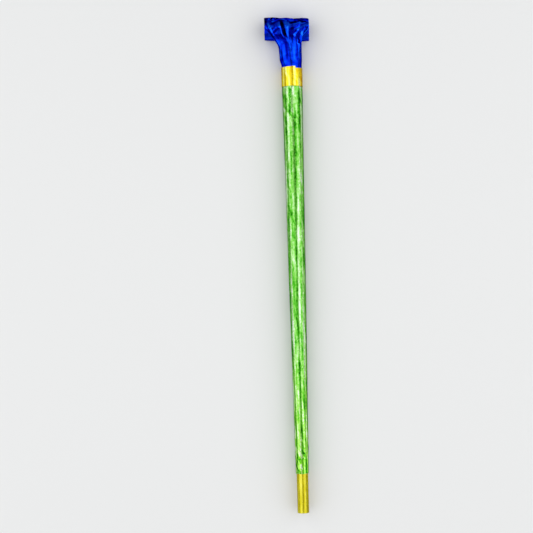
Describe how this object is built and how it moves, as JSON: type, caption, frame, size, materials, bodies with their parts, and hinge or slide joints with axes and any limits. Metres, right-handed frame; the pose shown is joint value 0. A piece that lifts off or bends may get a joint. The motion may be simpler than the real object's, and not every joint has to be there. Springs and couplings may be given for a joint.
{
  "type": "party horn blower",
  "caption": "Long foil-wrapped card horn with a reed mouthpiece, a collar band and a flat foil tube, rolled in a coil, that unrolls when blown and springs back.",
  "frame": {"origin": "centre of the mouthpiece's open end", "axes": "+Y runs along the horn from the mouth to the coil, +Z is the side the foil strip lies on before it rolls under, and +X is across the coil"},
  "size_m": [0.0334, 0.3715, 0.0172],
  "materials": {
    "blue_foil": "gloss",
    "gold_foil": "gloss",
    "green_foil": "gloss",
    "card": "matte",
    "white_plastic": "satin",
    "reed_plastic": "satin",
    "recoil_plastic": "satin"
  },
  "bodies": {
    "horn": {"mouthpiece_tube": "white_plastic", "mouthpiece_foil": "gold_foil", "reed_shallot": "reed_plastic", "reed_ring": "white_plastic", "handle_core": "card", "handle_wrap": "green_foil", "collar_band": "gold_foil", "neck_sleeve": "blue_foil", "neck_flare": "blue_foil", "coil_root": "blue_foil", "recoil_strip_root": "recoil_plastic"},
    "reed": {"reed_tongue": "reed_plastic"},
    "coil_01": {"coil_link_01": "blue_foil", "recoil_strip_01": "recoil_plastic"},
    "coil_02": {"coil_link_02": "blue_foil", "recoil_strip_02": "recoil_plastic"},
    "coil_03": {"coil_link_03": "blue_foil", "recoil_strip_03": "recoil_plastic"},
    "coil_04": {"coil_link_04": "blue_foil", "recoil_strip_04": "recoil_plastic"},
    "coil_05": {"coil_link_05": "blue_foil", "recoil_strip_05": "recoil_plastic"},
    "coil_06": {"coil_link_06": "blue_foil", "recoil_strip_06": "recoil_plastic"},
    "coil_07": {"coil_link_07": "blue_foil", "recoil_strip_07": "recoil_plastic"},
    "coil_08": {"coil_link_08": "blue_foil", "recoil_strip_08": "recoil_plastic"},
    "coil_09": {"coil_link_09": "blue_foil", "recoil_strip_09": "recoil_plastic"},
    "coil_10": {"coil_link_10": "blue_foil", "recoil_strip_10": "recoil_plastic"},
    "coil_11": {"coil_link_11": "blue_foil", "recoil_strip_11": "recoil_plastic"},
    "coil_12": {"coil_link_12": "blue_foil", "recoil_strip_12": "recoil_plastic"},
    "coil_13": {"coil_link_13": "blue_foil", "recoil_strip_13": "recoil_plastic"},
    "coil_14": {"coil_link_14": "blue_foil", "recoil_strip_14": "recoil_plastic"},
    "coil_15": {"coil_link_15": "blue_foil", "recoil_strip_15": "recoil_plastic"},
    "coil_16": {"coil_link_16": "blue_foil", "recoil_strip_16": "recoil_plastic"},
    "coil_17": {"coil_link_17": "blue_foil", "recoil_strip_17": "recoil_plastic"},
    "coil_18": {"coil_link_18": "blue_foil", "recoil_strip_18": "recoil_plastic"},
    "coil_end": {"coil_tip": "blue_foil", "recoil_strip_tip": "recoil_plastic", "coil_end_seal": "blue_foil"}
  },
  "joints": [
    {"name": "reed_beat", "type": "hinge", "parent": "horn", "child": "reed", "pos_m": [0, 0.032, 0.00005], "axis": [1, 0, 0], "range_deg": [0, 2.5], "stiffness_Nm_per_rad": 0.0002},
    {"name": "unroll_01", "type": "hinge", "parent": "horn", "child": "coil_01", "pos_m": [-0.0031, 0.36275, 0.00875], "axis": [1, 0, 0], "range_deg": [0, 36], "stiffness_Nm_per_rad": 0.002},
    {"name": "unroll_02", "type": "hinge", "parent": "coil_01", "child": "coil_02", "pos_m": [-0.0031, 0.37107, 0.0027], "axis": [1, 0, 0], "range_deg": [0, 72], "stiffness_Nm_per_rad": 0.002},
    {"name": "unroll_03", "type": "hinge", "parent": "coil_02", "child": "coil_03", "pos_m": [-0.0031, 0.36798, -0.0068], "axis": [1, 0, 0], "range_deg": [0, 72], "stiffness_Nm_per_rad": 0.002},
    {"name": "unroll_04", "type": "hinge", "parent": "coil_03", "child": "coil_04", "pos_m": [-0.0031, 0.35829, -0.0068], "axis": [1, 0, 0], "range_deg": [0, 72], "stiffness_Nm_per_rad": 0.002},
    {"name": "unroll_05", "type": "hinge", "parent": "coil_04", "child": "coil_05", "pos_m": [-0.0031, 0.35538, 0.00214], "axis": [1, 0, 0], "range_deg": [0, 72], "stiffness_Nm_per_rad": 0.002},
    {"name": "unroll_06", "type": "hinge", "parent": "coil_05", "child": "coil_06", "pos_m": [-0.0031, 0.36275, 0.0075], "axis": [1, 0, 0], "range_deg": [0, 72], "stiffness_Nm_per_rad": 0.002},
    {"name": "unroll_07", "type": "hinge", "parent": "coil_06", "child": "coil_07", "pos_m": [-0.0031, 0.36988, 0.00232], "axis": [1, 0, 0], "range_deg": [0, 72], "stiffness_Nm_per_rad": 0.002},
    {"name": "unroll_08", "type": "hinge", "parent": "coil_07", "child": "coil_08", "pos_m": [-0.0031, 0.36725, -0.00579], "axis": [1, 0, 0], "range_deg": [0, 72], "stiffness_Nm_per_rad": 0.002},
    {"name": "unroll_09", "type": "hinge", "parent": "coil_08", "child": "coil_09", "pos_m": [-0.0031, 0.35902, -0.00579], "axis": [1, 0, 0], "range_deg": [0, 72], "stiffness_Nm_per_rad": 0.002},
    {"name": "unroll_10", "type": "hinge", "parent": "coil_09", "child": "coil_10", "pos_m": [-0.0031, 0.35657, 0.00176], "axis": [1, 0, 0], "range_deg": [0, 72], "stiffness_Nm_per_rad": 0.002},
    {"name": "unroll_11", "type": "hinge", "parent": "coil_10", "child": "coil_11", "pos_m": [-0.0031, 0.36275, 0.00625], "axis": [1, 0, 0], "range_deg": [0, 72], "stiffness_Nm_per_rad": 0.002},
    {"name": "unroll_12", "type": "hinge", "parent": "coil_11", "child": "coil_12", "pos_m": [-0.0031, 0.36869, 0.00193], "axis": [1, 0, 0], "range_deg": [0, 72], "stiffness_Nm_per_rad": 0.002},
    {"name": "unroll_13", "type": "hinge", "parent": "coil_12", "child": "coil_13", "pos_m": [-0.0031, 0.36651, -0.00478], "axis": [1, 0, 0], "range_deg": [0, 72], "stiffness_Nm_per_rad": 0.002},
    {"name": "unroll_14", "type": "hinge", "parent": "coil_13", "child": "coil_14", "pos_m": [-0.0031, 0.35975, -0.00478], "axis": [1, 0, 0], "range_deg": [0, 72], "stiffness_Nm_per_rad": 0.002},
    {"name": "unroll_15", "type": "hinge", "parent": "coil_14", "child": "coil_15", "pos_m": [-0.0031, 0.35776, 0.00137], "axis": [1, 0, 0], "range_deg": [0, 72], "stiffness_Nm_per_rad": 0.002},
    {"name": "unroll_16", "type": "hinge", "parent": "coil_15", "child": "coil_16", "pos_m": [-0.0031, 0.36275, 0.005], "axis": [1, 0, 0], "range_deg": [0, 72], "stiffness_Nm_per_rad": 0.002},
    {"name": "unroll_17", "type": "hinge", "parent": "coil_16", "child": "coil_17", "pos_m": [-0.0031, 0.36751, 0.00155], "axis": [1, 0, 0], "range_deg": [0, 72], "stiffness_Nm_per_rad": 0.002},
    {"name": "unroll_18", "type": "hinge", "parent": "coil_17", "child": "coil_18", "pos_m": [-0.0031, 0.36578, -0.00377], "axis": [1, 0, 0], "range_deg": [0, 72], "stiffness_Nm_per_rad": 0.002},
    {"name": "unroll_19", "type": "hinge", "parent": "coil_18", "child": "coil_end", "pos_m": [-0.0031, 0.36049, -0.00377], "axis": [1, 0, 0], "range_deg": [0, 72], "stiffness_Nm_per_rad": 0.002}
  ],
  "couplings": [
    {"joint": "unroll_02", "follows": "unroll_01", "ratio": 2},
    {"joint": "unroll_03", "follows": "unroll_01", "ratio": 2},
    {"joint": "unroll_04", "follows": "unroll_01", "ratio": 2},
    {"joint": "unroll_05", "follows": "unroll_01", "ratio": 2},
    {"joint": "unroll_06", "follows": "unroll_01", "ratio": 2},
    {"joint": "unroll_07", "follows": "unroll_01", "ratio": 2},
    {"joint": "unroll_08", "follows": "unroll_01", "ratio": 2},
    {"joint": "unroll_09", "follows": "unroll_01", "ratio": 2},
    {"joint": "unroll_10", "follows": "unroll_01", "ratio": 2},
    {"joint": "unroll_11", "follows": "unroll_01", "ratio": 2},
    {"joint": "unroll_12", "follows": "unroll_01", "ratio": 2},
    {"joint": "unroll_13", "follows": "unroll_01", "ratio": 2},
    {"joint": "unroll_14", "follows": "unroll_01", "ratio": 2},
    {"joint": "unroll_15", "follows": "unroll_01", "ratio": 2},
    {"joint": "unroll_16", "follows": "unroll_01", "ratio": 2},
    {"joint": "unroll_17", "follows": "unroll_01", "ratio": 2},
    {"joint": "unroll_18", "follows": "unroll_01", "ratio": 2},
    {"joint": "unroll_19", "follows": "unroll_01", "ratio": 2}
  ]
}
